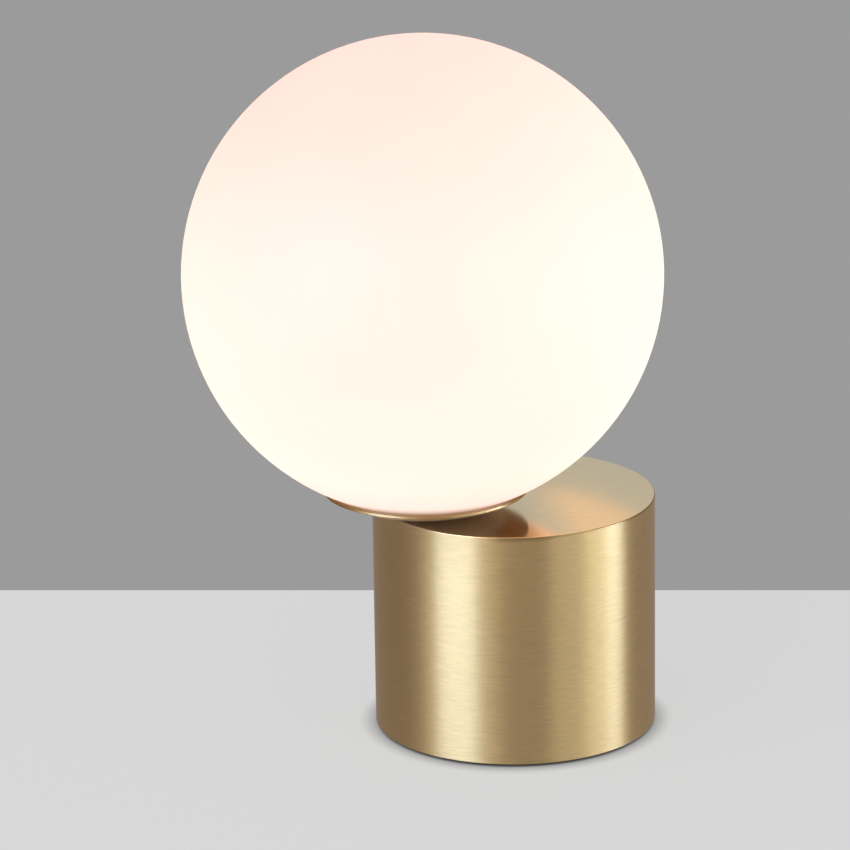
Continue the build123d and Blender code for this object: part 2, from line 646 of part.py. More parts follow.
ear_top = holder_z + EAR_THICKNESS
ear_nut_z = holder_z - BRACKET_GAUGE - EAR_NUT_HEIGHT
with BuildPart(at_stem(ear_top)) as holder_screws:
    with GridLocations(0, 2 * ear_screw_y, 1, 2):
        Cylinder(EAR_SCREW_HEAD / 2, EAR_SCREW_HEAD_HEIGHT, align=ON_PLANE)
        Cylinder(
            EAR_SCREW_DIAMETER / 2,
            ear_top - ear_nut_z + EAR_SCREW_LIP,
            align=(Align.CENTER, Align.CENTER, Align.MAX),
        )
    with BuildSketch(at_stem(ear_top + EAR_SCREW_HEAD_HEIGHT)):
        with GridLocations(0, 2 * ear_screw_y, 1, 2):
            Rectangle(CROSS_WIDTH, EAR_SCREW_HEAD)
    extrude(amount=-EAR_SCREW_HEAD_HEIGHT / 2, mode=Mode.SUBTRACT)
save(holder_screws, "holder_screws")

with BuildPart() as holder_nuts:
    with BuildSketch(at_stem(ear_nut_z)):
        with GridLocations(0, 2 * ear_screw_y, 1, 2):
            RegularPolygon(EAR_NUT_FLATS / 2, 6, major_radius=False)
            Circle(EAR_SCREW_DIAMETER / 2 + THREAD_CLEARANCE, mode=Mode.SUBTRACT)
    extrude(amount=EAR_NUT_HEIGHT)
save(holder_nuts, "holder_nuts")


def lead(points):
    """A round wire along straight runs joined by arcs as large as the runs allow."""
    route = [Vector(*point) for point in points]
    radii = []
    for before, corner, after in zip(route, route[1:], route[2:]):
        turn = radians((corner - before).get_angle(after - corner))
        shorter = min((corner - before).length, (after - corner).length)
        radii.append(WIRE_BEND * shorter / tan(turn / 2))
    print("wire bend radii", [round(radius, 1) for radius in radii])
    with BuildPart() as wire:
        with BuildLine() as path:
            FilletPolyline(*route, radius=radii)
        with BuildSketch(Plane(origin=path.line @ 0, z_dir=path.line % 0)):
            Circle(WIRE_DIAMETER / 2)
        sweep()
    return wire


# Wires from the lampholder down the stem to the terminal block
wire_end = block_face + TUBE_SETBACK + WIRE_INSERT
for wire_name, side in (("live_wire", 1), ("neutral_wire", -1)):
    holder_y = side * PIN_PITCH / 2
    stem_y = side * WIRE_SPREAD / 2
    block_y = side * POLE_PITCH
    save(
        lead(
            [
                (stem_x, holder_y, crimp_bottom + CRIMP_INSERT),
                (stem_x, holder_y, crimp_bottom - 1.2),
                (stem_x, stem_y, stem_top - 0.8),
                (stem_x, stem_y, stem_bottom - 5),
                (stem_x + 15, side * 4, 64),
                (block_face - 14, block_y, tube_z),
                (wire_end, block_y, tube_z),
            ]
        ),
        wire_name,
    )

# Earth wire from its tag on the stem to the middle pole
save(
    lead(
        [
            (barrel_x + 2, 0, barrel_z),
            (barrel_x + 14, 0, barrel_z),
            (barrel_x + 20, 0, barrel_z - 18),
            (barrel_x + 19, 0, barrel_z - 42),
            (block_face - 10, 0, tube_z),
            (wire_end, 0, tube_z),
        ]
    ),
    "earth_wire",
)

# Globe: a glass ball with a round mouth at the bottom
mouth_outer = asin(mouth_radius / globe_radius)
mouth_inner = asin(mouth_radius / glass_inner)
with BuildPart() as globe:
    with BuildSketch(globe_plane):
        with BuildLine():
            ThreePointArc(on_sphere(globe_radius, mouth_outer), (globe_radius, 0), (0, globe_radius))
            Line((0, globe_radius), (0, glass_inner))
            ThreePointArc((0, glass_inner), (glass_inner, 0), on_sphere(glass_inner, mouth_inner))
            Line(on_sphere(glass_inner, mouth_inner), on_sphere(globe_radius, mouth_outer))
        make_face()
    revolve(axis=globe_axis)
    globe_rings = globe.edges().filter_by(GeomType.CIRCLE).filter_by(lambda edge: edge.is_closed)
    fillet(globe_rings.sort_by(Axis.Z)[:2], MOUTH_ROUND)
save(globe, "globe")

# Bulb: an oval cap with two wire-loop pins, a round skirt, and a board of LEDs under a domed cover
with BuildPart() as bulb_base:
    with BuildSketch(at_stem(bulb_z)):
        SlotOverall(CAP_LENGTH, CAP_WIDTH, rotation=90)
    extrude(amount=SOCKET_DEPTH + CAP_RISE)
    with BuildSketch(at_stem(skirt_z)):
        Circle(SKIRT_DIAMETER / 2)
    extrude(amount=SKIRT_HEIGHT)
    fillet(bulb_base.faces().filter_by(Axis.Z).sort_by(SortBy.AREA)[-1].outer_wire().edges(), SKIRT_ROUND)
save(bulb_base, "bulb_base")

with BuildPart() as bulb_pins:
    for side in (-1, 1):
        pin_y = side * PIN_PITCH / 2
        turn_z = bulb_z - PIN_LENGTH + (PIN_LOOP + PIN_WIRE) / 2
        with BuildLine(bracket_plane) as loop:
            Line((pin_y - PIN_LOOP / 2, bulb_z), (pin_y - PIN_LOOP / 2, turn_z))
            ThreePointArc(
                (pin_y - PIN_LOOP / 2, turn_z),
                (pin_y, turn_z - PIN_LOOP / 2),
                (pin_y + PIN_LOOP / 2, turn_z),
            )
            Line((pin_y + PIN_LOOP / 2, turn_z), (pin_y + PIN_LOOP / 2, bulb_z))
        with BuildSketch(Plane(origin=(stem_x, pin_y - PIN_LOOP / 2, bulb_z))):
            Circle(PIN_WIRE / 2)
        sweep(path=loop.wires()[0])
save(bulb_pins, "bulb_pins")

with BuildPart(at_stem(cover_z)) as bulb_board:
    Box(BOARD_THICKNESS, BOARD_WIDTH, BOARD_HEIGHT, align=ON_PLANE)
save(bulb_board, "bulb_board")

led_x = (BOARD_THICKNESS + LED_THICKNESS) / 2
with BuildPart(at_stem(cover_z + BOARD_HEIGHT / 2)) as bulb_leds:
    for row in range(LED_ROWS):
        led_z = (row - (LED_ROWS - 1) / 2) * LED_PITCH
        with Locations((0, 0, led_z)):
            with GridLocations(2 * led_x, LED_COLUMN_PITCH, 2, 2):
                Box(LED_THICKNESS, LED_WIDTH, LED_HEIGHT)
save(bulb_leds, "bulb_leds")

cover_radius = COVER_DIAMETER / 2
cover_inner = cover_radius - COVER_WALL
dome_z = COVER_HEIGHT - cover_radius
with BuildPart() as bulb_cover:
    with BuildSketch(Plane(origin=(stem_x, 0, cover_z), x_dir=(1, 0, 0), z_dir=(0, -1, 0))):
        with BuildLine():
            Line((cover_inner, 0), (cover_radius, 0))
            Line((cover_radius, 0), (cover_radius, dome_z))
            CenterArc((0, dome_z), cover_radius, 0, 90)
            Line((0, COVER_HEIGHT), (0, COVER_HEIGHT - COVER_WALL))
            CenterArc((0, dome_z), cover_inner, 0, 90)
            Line((cover_inner, dome_z), (cover_inner, 0))
        make_face()
    revolve(axis=globe_axis)
save(bulb_cover, "bulb_cover")
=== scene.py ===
"""A bedside lamp: a lit opal glass globe in a shallow brass dish, near the edge of a brushed brass drum."""

import math

import bmesh
import bpy
from mathutils import Matrix, Vector


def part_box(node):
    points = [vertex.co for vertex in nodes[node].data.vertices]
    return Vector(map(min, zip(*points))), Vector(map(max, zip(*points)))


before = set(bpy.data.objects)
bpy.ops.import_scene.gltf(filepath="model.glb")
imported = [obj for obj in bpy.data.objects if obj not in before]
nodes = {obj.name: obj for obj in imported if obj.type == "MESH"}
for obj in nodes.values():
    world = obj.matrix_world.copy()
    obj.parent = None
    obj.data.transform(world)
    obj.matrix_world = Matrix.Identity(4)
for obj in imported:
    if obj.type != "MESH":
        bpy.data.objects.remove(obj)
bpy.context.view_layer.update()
scene = bpy.context.scene

UP = Vector((0, 0, 1))

# The camera, in metres, degrees and millimetres of sensor, and the photograph's frame in pixels
IMAGE_SIDE = 850
FOCAL_PIXELS = 4753.0
SENSOR_WIDTH = 36.0
CLIP_END = 100.0
CAMERA_PLACE = Vector((-0.8874, -1.7028, 0.7205))
CAMERA_AZIMUTH = -26.419
CAMERA_ELEVATION = 17.041
CAMERA_ROLL = -0.861
HORIZON_ROW = 590

# The floor and the backdrop, in metres and linear colours
FLOOR_WHITE = (0.68, 0.68, 0.68)
FLOOR_GRAIN = 600.0
FLOOR_GRAIN_TONES = (0.995, 1.005)
FLOOR_REACH = 4.0
FLOOR_DROP = 0.0001
CONTACT_REACH = 0.0082
CONTACT_SAMPLES = 16
CONTACT_SHARE = 0.88  # of the floor's tone that only a close contact shades
BACKDROP_GREY = (0.328, 0.328, 0.328)

# The lights and the dark flag, in metres, degrees and linear colours
AMBIENT = 0.75
SOFTBOX_DISTANCE = 1.3
WATTS_PER_RADIANCE = 4.0
LEFT_TILT = 22.0
LEFT_HEIGHT = 1.30
RIGHT_TILT = 13.0
RIGHT_HEIGHT = 0.90
BLACK = (0.0, 0.0, 0.0)
WHITE = (1.0, 1.0, 1.0)
DAYLIGHT = (0.84, 1.0, 1.06)
LEFT_SKY = (0.66, 1.0, 1.63)
LEFT_HAZE = (0.94, 1.05, 0.94)
RIGHT_SKY = (0.70, 1.10, 1.95)
BACK_SKY = (0.66, 1.03, 1.42)
FLAG_BROWN = (0.10, 0.065, 0.06)

# The warm card and its glow, with places in metres from the stem's foot on the drum's top
WARM_COLOUR = (1.0, 0.50, 0.02)
WARM_STRENGTH = 0.44
WARM_ASIDE = 0.030
WARM_BEHIND = 0.12
WARM_ABOVE = 0.020
WARM_WIDTH = 0.110
WARM_HEIGHT = 0.080
WARM_LEFT_EDGE = (0.0221, 0.0416)
WARM_LOW_EDGE = (0.0295, 0.0330)
WARM_LEAN = 0.6
WARM_BEND_MIDDLE = 0.050
WARM_BEND = 7.5

# Ranges of a noise that a finish follows
MOST_NOISE = (0.3, 0.7)
WIDE_NOISE = (0.25, 0.75)
STAIN_NOISE = (0.35, 0.75)

# How plated, moulded and glowing finishes vary about their own grain, colour and roughness
PLATING_FINENESS = 9.0
MOULDED_CLOUD = 1.0 / 14.0
PLATED_TONES = (0.93, 1.05)
GLOWING_TONES = (0.96, 1.04)
PLATED_SPREAD = 0.04
MOULDED_SPREAD = 0.06

# Brush marks, as noise scales along and across the brushing
FINE_TURNED = (9.0, 2500.0)
BROAD_TURNED = (4.0, 900.0)
FINE_STRAIGHT = (150.0, 2500.0)
BROAD_STRAIGHT = (60.0, 900.0)
FINE_SHARE = 0.85

# What brush marks, stains and pits do to brass
MARK_TONES = (0.90, 1.095)
MARK_ROUGHNESS = (0.94, 1.06)
STAIN_SHARES = (0.0, 0.12)
PIT_SHARE = 0.6

# The drum: depths below its top and places aside from its axis in metres, then its surface
DRUM_AXIS_X = 0.0
EDGE_ROUNDING = 0.0005
TOP_FINISH_DEPTH = 0.0001
# The dark edge below is painted shade along the right half of the drum's top edge
DARK_EDGE_END = (0.00015, 0.00003)
DARK_EDGE_DEPTHS = (0.0024, 0.0008)
DARK_EDGE_NARROWING = (0.010, 0.022)
DARK_EDGE_START = (-0.013, -0.006)
SIDE_ROUGHNESS = 0.39
TOP_ROUGHNESS = 0.10
SIDE_RELIEF = 1.0
TOP_RELIEF = 0.3

# The dish: slopes by the normal's rise, places aside and depths below its rim in metres, then its surface
POLISHED_SLOPES = (-0.80, -0.60)
RING_SLOPES = (-0.955, -0.915)
RING_END = (0.008, 0.024)
METAL_DEPTHS = (0.0056, 0.0042)
DULL_ROUGHNESS = 0.60
POLISHED_ROUGHNESS = 0.45
DISH_RELIEF = 1.0

# The globe's glow: its lean in globe radii, its foot in metres above the dish's rim
LEAN_ASIDE = 0.75
LEAN_CLIMB = 0.47
LEAN_START = 0.42
GLOW_CLOUD = (-0.12, 0.12)
ROSY_HEIGHTS = (-1.3, 1.0)
FOOT_HEIGHTS = (0.0045, 0.020)
SHADE_HEIGHTS = (-0.0006, 0.0056)
DUST_SHARE = 0.5

# Brass, as linear colours
BRASS = (0.80, 0.53, 0.25)
# painted shade for the right half of the drum's top edge
EDGE_SHADE_BRASS = (0.46, 0.29, 0.125)
STAINED_BRASS = (0.60, 0.44, 0.25)
PITTED_BRASS = (0.12, 0.075, 0.035)
GLANCING_BRASS = (0.96, 0.87, 0.78)
DISH_BRASS = (0.66, 0.43, 0.20)
# painted shade: the dish's dull grey underside, which the drum's top mirrors as the shaded gap
SHADED_DULL_BRASS = (0.50, 0.44, 0.40)
SHADED_GREY_UNDERSIDE = (0.57, 0.60, 0.80)
GLANCING_DISH = (0.92, 0.55, 0.26)
BARE_BRASS = (0.72, 0.53, 0.24)

# The lit glass
LOW_GLOW = (0.98, 0.86, 0.73)
HIGH_GLOW = (0.90, 0.48, 0.39)
FOOT_GLOW = (0.95, 0.69, 0.59)
SHADED_GLOW = (0.28, 0.16, 0.08)
DUST_GLOW = (0.35, 0.25, 0.2)
OPAL = (0.30, 0.29, 0.28)
SHADED_OPAL = (0.10, 0.07, 0.05)

# The other finishes
ZINC = (0.62, 0.63, 0.64)
SPRING_STEEL = (0.55, 0.55, 0.56)
CAST_IRON = (0.055, 0.055, 0.058)
BLACK_RUBBER = (0.020, 0.019, 0.018)
BLACK_PLASTIC = (0.024, 0.023, 0.022)
WHITE_NYLON = (0.76, 0.74, 0.68)
WHITE_CERAMIC = (0.80, 0.77, 0.71)
BULB_WHITE = (0.84, 0.83, 0.80)
BROWN_WIRE = (0.13, 0.05, 0.022)
BLUE_WIRE = (0.025, 0.10, 0.40)
GREEN_WIRE = (0.05, 0.30, 0.045)
YELLOW_WIRE = (0.80, 0.62, 0.03)
STRIPE_BLUR = (-0.00008, 0.00008)
AMBER_SILICONE = (0.40, 0.26, 0.15)
AMBER_LIGHT = (1.0, 0.56, 0.28)
PHOSPHOR = (0.90, 0.66, 0.16)
PHOSPHOR_LIGHT = (1.0, 0.78, 0.42)
FROSTED_WHITE = (0.80, 0.78, 0.73)
BULB_LIGHT = (1.0, 0.86, 0.66)

# The places that the finishes start from
globe_low, globe_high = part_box("globe")
stem_low, stem_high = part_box("stem")
stem_x = (stem_low.x + stem_high.x) / 2
globe_radius = (globe_high.y - globe_low.y) / 2
globe_centre = Vector((stem_x, 0, globe_high.z - globe_radius))
rim_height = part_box("dish")[1].z
drum_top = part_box("drum")[1].z


def view_axes():
    """The camera's right, up and forward directions."""
    azimuth = math.radians(CAMERA_AZIMUTH)
    elevation = math.radians(CAMERA_ELEVATION)
    roll = math.radians(CAMERA_ROLL)
    forward = Vector(
        (
            -math.sin(azimuth) * math.cos(elevation),
            math.cos(azimuth) * math.cos(elevation),
            -math.sin(elevation),
        )
    )
    level = forward.cross(UP).normalized()
    upright = level.cross(forward)
    right = level * math.cos(roll) + upright * math.sin(roll)
    up = upright * math.cos(roll) - level * math.sin(roll)
    return right, up, forward


view_right, view_up, view_forward = view_axes()
brushed_along = Vector((view_right.x, view_right.y, 0)).normalized()
brushed_across = Vector((brushed_along.y, -brushed_along.x, 0))


def place_camera():
    """The photograph's viewpoint."""
    data = bpy.data.cameras.new("camera")
    data.sensor_width = SENSOR_WIDTH
    data.lens = FOCAL_PIXELS / IMAGE_SIDE * SENSOR_WIDTH
    data.clip_end = CLIP_END
    camera = bpy.data.objects.new("camera", data)
    turn = Matrix((view_right, view_up, -view_forward)).transposed()
    camera.matrix_world = Matrix.Translation(CAMERA_PLACE) @ turn.to_4x4()
    scene.collection.objects.link(camera)
    scene.camera = camera


def floor_point(column, row):
    """The floor's point under a pixel of the photograph."""
    middle = IMAGE_SIDE / 2
    ray = view_right * (column - middle) - view_up * (row - middle) + view_forward * FOCAL_PIXELS
    return CAMERA_PLACE - ray * (CAMERA_PLACE.z / ray.z)


def heading(bearing):
    """A level direction, by its bearing in degrees from the camera's side of the lamp."""
    turn = math.radians(bearing)
    return brushed_along * math.sin(turn) + brushed_across * math.cos(turn)


def join(tree, value, socket):
    """Links a socket to another, or sets it to a value."""
    if isinstance(value, bpy.types.NodeSocket):
        tree.links.new(value, socket)
    else:
        socket.default_value = value


def add(tree, kind, inputs=None, **settings):
    """A new shader node. An input takes a value, or a socket to link."""
    made = tree.nodes.new(kind)
    for name, value in settings.items():
        setattr(made, name, value)
    for name, value in (inputs or {}).items():
        join(tree, value, made.inputs[name])
    return made


def maths(tree, operation, first, second):
    return add(tree, "ShaderNodeMath", {0: first, 1: second}, operation=operation).outputs[0]


def product(tree, first, *others):
    """Numbers multiplied together."""
    for other in others:
        first = maths(tree, "MULTIPLY", first, other)
    return first


def vectors(tree, operation, first, second=(0.0, 0.0, 0.0)):
    return add(tree, "ShaderNodeVectorMath", {0: first, 1: second}, operation=operation).outputs[0]


def scaled(tree, colour, factor):
    return add(tree, "ShaderNodeVectorMath", {0: colour, "Scale": factor}, operation="SCALE").outputs[0]


def dot(tree, first, direction):
    """How far a vector reaches along a direction."""
    inputs = {0: first, 1: tuple(direction)}
    return add(tree, "ShaderNodeVectorMath", inputs, operation="DOT_PRODUCT").outputs["Value"]


def coordinate(tree, place, axis):
    return add(tree, "ShaderNodeSeparateXYZ", {0: place}).outputs[axis]


def rescale(tree, value, low, high, to_low=0.0, to_high=1.0):
    """A value moved from one range to another, and kept inside it."""
    inputs = {"Value": value, "From Min": low, "From Max": high, "To Min": to_low, "To Max": to_high}
    return add(tree, "ShaderNodeMapRange", inputs).outputs[0]


def between(tree, share, first, second):
    """A mix of two numbers."""
    return rescale(tree, share, 0.0, 1.0, first, second)


def blend(tree, share, first, second):
    """A mix of two colours, which a Mix node takes at its inputs 6 and 7 and gives at its output 2."""
    return add(tree, "ShaderNodeMix", {0: share, 6: first, 7: second}, data_type="RGBA").outputs[2]


def noise(tree, place, scale, detail=2.0, roughness=0.5):
    inputs = {"Vector": place, "Scale": scale, "Detail": detail, "Roughness": roughness}
    return add(tree, "ShaderNodeTexNoise", inputs).outputs["Fac"]


def specks(tree, place, density, size):
    """1 in small scattered spots, 0 elsewhere."""
    cells = add(tree, "ShaderNodeTexVoronoi", {"Vector": place, "Scale": density})
    reach = size * density
    return rescale(tree, cells.outputs["Distance"], reach / 2, reach, 1.0, 0.0)


def bump(tree, height, strength, distance):
    inputs = {"Height": height, "Strength": strength, "Distance": distance}
    return add(tree, "ShaderNodeBump", inputs).outputs["Normal"]


def emission(tree, colour, strength=1.0):
    return add(tree, "ShaderNodeEmission", {"Color": colour, "Strength": strength}).outputs[0]


def mix_shaders(tree, share, first, second):
    return add(tree, "ShaderNodeMixShader", {0: share, 1: first, 2: second}).outputs[0]


def seen_rays(tree):
    """1 for the camera's own rays, and 1 for those that metal and glass mirror or let through."""
    rays = add(tree, "ShaderNodeLightPath").outputs
    reflected = maths(tree, "MAXIMUM", rays["Is Glossy Ray"], rays["Is Transmission Ray"])
    return rays["Is Camera Ray"], reflected


def rgba(colour, level=1.0):
    return (*[channel * level for channel in colour], 1.0)


def new_material(name):
    """A node material, its tree, its shader and its Object coordinates."""
    made = bpy.data.materials.new(name)
    made.use_nodes = True
    tree = made.node_tree
    shader = tree.nodes["Principled BSDF"]
    place = add(tree, "ShaderNodeTexCoord").outputs["Object"]
    return made, tree, shader, place


def set_sockets(tree, shader, **values):
    """Sets or links the shader's sockets, with _ for a space in a name."""
    for name, value in values.items():
        join(tree, value, shader.inputs[name.replace("_", " ")])


def lathe_marks(tree, place, axis_x, along, across):
    """Noise drawn out round an upright axis, in rings on a level face and in lines on a side."""
    from_axis = vectors(tree, "SUBTRACT", place, (axis_x, 0.0, 0.0))
    flat = vectors(tree, "MULTIPLY", from_axis, (1.0, 1.0, 0.0))
    around = vectors(tree, "MULTIPLY", vectors(tree, "NORMALIZE", flat), (along, along, 0.0))
    height = vectors(tree, "MULTIPLY", from_axis, (0.0, 0.0, across))
    radius = add(tree, "ShaderNodeVectorMath", {0: flat}, operation="LENGTH").outputs["Value"]
    inputs = {
        "Vector": vectors(tree, "ADD", around, height),
        "W": product(tree, radius, across),
        "Scale": 1.0,
        "Detail": 2.0,
        "Roughness": 0.5,
    }
    return add(tree, "ShaderNodeTexNoise", inputs, noise_dimensions="4D").outputs["Fac"]


def level_marks(tree, place, along, across):
    """Noise drawn out along the brushing of the drum's top."""
    lengthwise = dot(tree, place, brushed_along * along)
    crosswise = dot(tree, place, brushed_across * across)
    spot = add(tree, "ShaderNodeCombineXYZ", {0: lengthwise, 1: crosswise}).outputs[0]
    return noise(tree, spot, scale=1.0)


def brushing(tree, fine, broad):
    """Fine brush marks over fainter broad ones."""
    return maths(tree, "ADD", product(tree, fine, FINE_SHARE), product(tree, broad, 1.0 - FINE_SHARE))


def turned_brushing(tree, place, axis_x):
    """Brush marks round an upright axis."""
    fine = lathe_marks(tree, place, axis_x, *FINE_TURNED)
    broad = lathe_marks(tree, place, axis_x, *BROAD_TURNED)
    return brushing(tree, fine, broad)


def straight_brushing(tree, place):
    """Brush marks across the drum's top."""
    fine = level_marks(tree, place, *FINE_STRAIGHT)
    broad = level_marks(tree, place, *BROAD_STRAIGHT)
    return brushing(tree, fine, broad)


def finish_brass(tree, shader, place, colour, marks, roughness, relief, tangent):
    """Lacquered brass with its brush marks, a little staining and a few pits."""
    tone = scaled(tree, colour, rescale(tree, marks, *MOST_NOISE, *MARK_TONES))
    cloud = noise(tree, place, scale=28.0, detail=3.0)
    stain = rescale(tree, cloud, *STAIN_NOISE, *STAIN_SHARES)
    stained = blend(tree, stain, tone, rgba(STAINED_BRASS))
    pits = product(tree, specks(tree, place, density=90.0, size=0.00035), PIT_SHARE)
    set_sockets(
        tree,
        shader,
        Base_Color=blend(tree, pits, stained, rgba(PITTED_BRASS)),
        Metallic=1.0,
        Roughness=product(tree, roughness, rescale(tree, marks, *WIDE_NOISE, *MARK_ROUGHNESS)),
        Specular_Tint=rgba(GLANCING_BRASS),
        Anisotropic=0.92,
        Anisotropic_Rotation=0.25,
        Tangent=tangent,
        Coat_Weight=0.25,
        Coat_Roughness=0.1,
        Coat_IOR=1.5,
        Normal=bump(tree, product(tree, marks, relief), strength=0.04, distance=0.00001),
    )


def painted_edge_shade(tree, height, aside):
    """Painted shade: 1 in a narrowing band along the right half of the drum's top edge, and 0 elsewhere."""
    deep, shallow = [drum_top - depth for depth in DARK_EDGE_DEPTHS]
    foot = rescale(tree, aside, *DARK_EDGE_NARROWING, deep, shallow)
    below_top = rescale(tree, height, foot, drum_top - EDGE_ROUNDING)
    fade_start, fade_end = [drum_top - depth for depth in DARK_EDGE_END]
    off_top = rescale(tree, height, fade_start, fade_end, 1.0, 0.0)
    return product(tree, below_top, off_top, rescale(tree, aside, *DARK_EDGE_START))


def drum_brass():
    """Brushed round the drum's side, and straight across its smoother top, with painted shade along the
    right half of its top edge.
    """
    made, tree, shader, place = new_material("drum_brass")
    height = coordinate(tree, place, "Z")
    level = rescale(tree, height, drum_top - EDGE_ROUNDING, drum_top - TOP_FINISH_DEPTH)
    turned = turned_brushing(tree, place, DRUM_AXIS_X)
    marks = between(tree, level, turned, straight_brushing(tree, place))
    round_side = vectors(tree, "CROSS_PRODUCT", tuple(UP), place)
    across_top = scaled(tree, tuple(brushed_along), level)
    # painted shade along the right half of the top edge
    edge_shade = painted_edge_shade(tree, height, dot(tree, place, brushed_along))
    finish_brass(
        tree,
        shader,
        place,
        blend(tree, edge_shade, rgba(BRASS), rgba(EDGE_SHADE_BRASS)),
        marks,
        between(tree, level, SIDE_ROUGHNESS, TOP_ROUGHNESS),
        between(tree, level, SIDE_RELIEF, TOP_RELIEF),
        vectors(tree, "NORMALIZE", vectors(tree, "ADD", round_side, across_top)),
    )
    return made


def dish_brass():
    """Spun brass, brushed round the dish. Its underside turns duller towards the middle, and grey there, a
    painted shade that the drum's top mirrors as the shaded gap under the dish.

    Near the rim the underside stays bright brass on the side away from the drum's middle; on the drum's
    side it is painted shade too.
    """
    made, tree, shader, place = new_material("dish_brass")
    upward = dot(tree, add(tree, "ShaderNodeNewGeometry").outputs["Normal"], UP)
    from_axis = vectors(tree, "SUBTRACT", place, (stem_x, 0.0, 0.0))
    # painted shade: where the underside isn't polished metal it is dull grey, and its flatter ring stays
    # bright brass only away from the drum's middle
    outer_side = rescale(tree, dot(tree, from_axis, brushed_along), *RING_END, 1.0, 0.0)
    unshaded_ring = product(tree, rescale(tree, upward, *RING_SLOPES), outer_side)
    polished_unshaded = maths(tree, "MAXIMUM", rescale(tree, upward, *POLISHED_SLOPES), unshaded_ring)
    metal_heights = [rim_height - depth for depth in METAL_DEPTHS]
    near_rim = rescale(tree, coordinate(tree, place, "Z"), *metal_heights)
    metal = maths(tree, "MAXIMUM", polished_unshaded, near_rim)
    brass = blend(tree, polished_unshaded, rgba(SHADED_DULL_BRASS), rgba(DISH_BRASS))
    finish_brass(
        tree,
        shader,
        place,
        blend(tree, metal, rgba(SHADED_GREY_UNDERSIDE), brass),
        turned_brushing(tree, place, stem_x),
        between(tree, polished_unshaded, DULL_ROUGHNESS, POLISHED_ROUGHNESS),
        DISH_RELIEF,
        vectors(tree, "NORMALIZE", vectors(tree, "CROSS_PRODUCT", tuple(UP), from_axis)),
    )
    set_sockets(tree, shader, Metallic=metal, Specular_Tint=rgba(GLANCING_DISH))
    return made


def opal_glass():
    """Opal glass lit from inside: brightest low down, rosier at the top and shaded at the dish's rim."""
    made, tree, shader, place = new_material("opal_glass")
    from_centre = vectors(tree, "SUBTRACT", place, tuple(globe_centre))
    climb = dot(tree, from_centre, UP / globe_radius)
    aside = dot(tree, from_centre, brushed_along / globe_radius)
    slant = maths(tree, "ADD", product(tree, aside, LEAN_ASIDE), product(tree, climb, LEAN_CLIMB))
    lean = product(tree, aside, maths(tree, "ADD", slant, LEAN_START))
    cloud = rescale(tree, noise(tree, place, scale=14.0), *MOST_NOISE, *GLOW_CLOUD)
    height = maths(tree, "ADD", maths(tree, "SUBTRACT", climb, lean), cloud)
    rosy = blend(tree, rescale(tree, height, *ROSY_HEIGHTS), rgba(LOW_GLOW), rgba(HIGH_GLOW))
    above_rim = maths(tree, "SUBTRACT", coordinate(tree, place, "Z"), rim_height)
    low = blend(tree, rescale(tree, above_rim, *FOOT_HEIGHTS), rgba(FOOT_GLOW), rosy)
    clear = rescale(tree, above_rim, *SHADE_HEIGHTS)
    shaded = blend(tree, clear, rgba(SHADED_GLOW), low)
    dust = product(tree, specks(tree, place, density=75.0, size=0.0003), DUST_SHARE)
    set_sockets(
        tree,
        shader,
        Base_Color=blend(tree, clear, rgba(SHADED_OPAL), rgba(OPAL)),
        Roughness=0.6,
        Specular_IOR_Level=0.2,
        Emission_Color=blend(tree, dust, shaded, rgba(DUST_GLOW)),
        Emission_Strength=1.0,
        Normal=bump(tree, noise(tree, place, scale=45.0, detail=1.0), strength=0.03, distance=0.0004),
    )
    return made


def plated(name, colour, roughness, grain):
    """Bare or plated metal with a fine uneven grain."""
    made, tree, shader, place = new_material(name)
    cloud = noise(tree, place, grain, detail=4.0, roughness=0.65)
    fine = noise(tree, place, grain * PLATING_FINENESS)
    dark, light = [rgba(colour, level) for level in PLATED_TONES]
    smooth, rough = roughness - PLATED_SPREAD, roughness + PLATED_SPREAD
    set_sockets(
        tree,
        shader,
        Base_Color=blend(tree, rescale(tree, cloud, *MOST_NOISE), dark, light),
        Metallic=1.0,
        Roughness=rescale(tree, cloud, *MOST_NOISE, smooth, rough),
        Normal=bump(tree, fine, strength=0.05, distance=0.00002),
    )
    return made


def moulded(name, colour, roughness, grain, variation, depth=0.00006, strength=0.2):
    """A moulded, cast or pressed material with a fine skin texture."""
    made, tree, shader, place = new_material(name)
    skin = noise(tree, place, grain, detail=3.0, roughness=0.6)
    cloud = noise(tree, place, grain * MOULDED_CLOUD)
    dark, light = rgba(colour, 1.0 - variation), rgba(colour, 1.0 + variation)
    smooth, rough = roughness - MOULDED_SPREAD, roughness + MOULDED_SPREAD
    set_sockets(
        tree,
        shader,
        Base_Color=blend(tree, cloud, dark, light),
        Roughness=rescale(tree, skin, *MOST_NOISE, smooth, rough),
        Normal=bump(tree, skin, strength, depth),
    )
    return made


def striped_insulation(name, first, second):
    """Two-colour insulation, half and half along the wire."""
    made, tree, shader, place = new_material(name)
    side = rescale(tree, coordinate(tree, place, "Y"), *STRIPE_BLUR)
    set_sockets(
        tree,
        shader,
        Base_Color=blend(tree, side, rgba(first), rgba(second)),
        Roughness=0.42,
        Normal=bump(tree, noise(tree, place, scale=800.0), strength=0.1, distance=0.00005),
    )
    return made


def glowing(name, colour, light, strength, roughness):
    """A white or tinted plastic that glows."""
    made, tree, shader, place = new_material(name)
    cloud = noise(tree, place, scale=300.0)
    dark, light_tone = [rgba(colour, level) for level in GLOWING_TONES]
    set_sockets(
        tree,
        shader,
        Base_Color=blend(tree, cloud, dark, light_tone),
        Roughness=roughness,
        Emission_Color=rgba(light),
        Emission_Strength=strength,
    )
    return made


def dress(finish, *names):
    """Gives CAD nodes their finish."""
    for name in names:
        slots = nodes[name].data.materials
        slots.clear()
        slots.append(finish)


